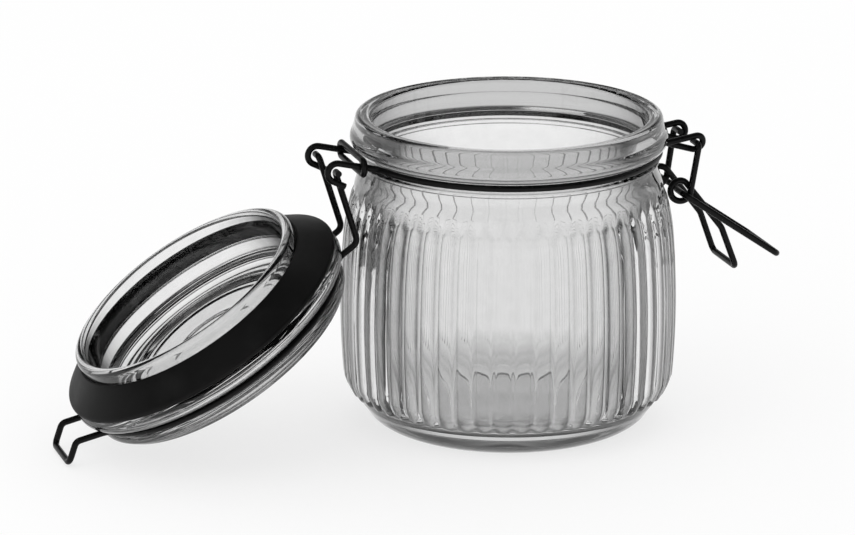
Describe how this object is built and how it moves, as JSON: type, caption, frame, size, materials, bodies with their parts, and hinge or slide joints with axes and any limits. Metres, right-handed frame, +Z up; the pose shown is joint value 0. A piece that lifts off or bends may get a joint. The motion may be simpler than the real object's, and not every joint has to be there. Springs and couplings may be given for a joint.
{
  "type": "clip-top jar",
  "caption": "Ribbed clear glass storage jar with a glass lid that hinges open on a wire, a rubber gasket and a wire lever clasp.",
  "frame": {"origin": "centre of the jar's foot, on the surface it stands on", "axes": "+Z up along the jar's axis, +X towards the lever clasp, -X towards the hinge and the open lid, Y across, the wires are alike on both sides of the XZ plane"},
  "size_m": [0.22, 0.1, 0.0936],
  "materials": {
    "jar_glass": "clear pressed glass, glossy",
    "lid_glass": "clear pressed glass, glossy",
    "gasket_rubber": "matte black rubber",
    "wire": "satin black coated steel wire"
  },
  "bodies": {
    "jar": {"jar_body": "jar_glass", "neck_wire": "wire", "hinge_tie": "wire"},
    "lid": {"lid_glass": "lid_glass", "lid_gasket": "gasket_rubber", "lid_wire": "wire"},
    "lever": {"lever": "wire"},
    "bail": {"bail": "wire"}
  },
  "joints": [
    {"name": "lid_hinge", "type": "hinge", "parent": "jar", "child": "lid", "pos_m": [-0.056, 0, 0.0824], "axis": [0, -1, 0], "range_deg": [-213.2, 0]},
    {"name": "lever_pivot", "type": "hinge", "parent": "jar", "child": "lever", "pos_m": [0.056, 0, 0.082], "axis": [0, -1, 0], "range_deg": [0, 155]},
    {"name": "bail_pivot", "type": "hinge", "parent": "lever", "child": "bail", "pos_m": [0.0509, 0, 0.0675], "axis": [0, -1, 0], "range_deg": [0, 125.5]}
  ]
}
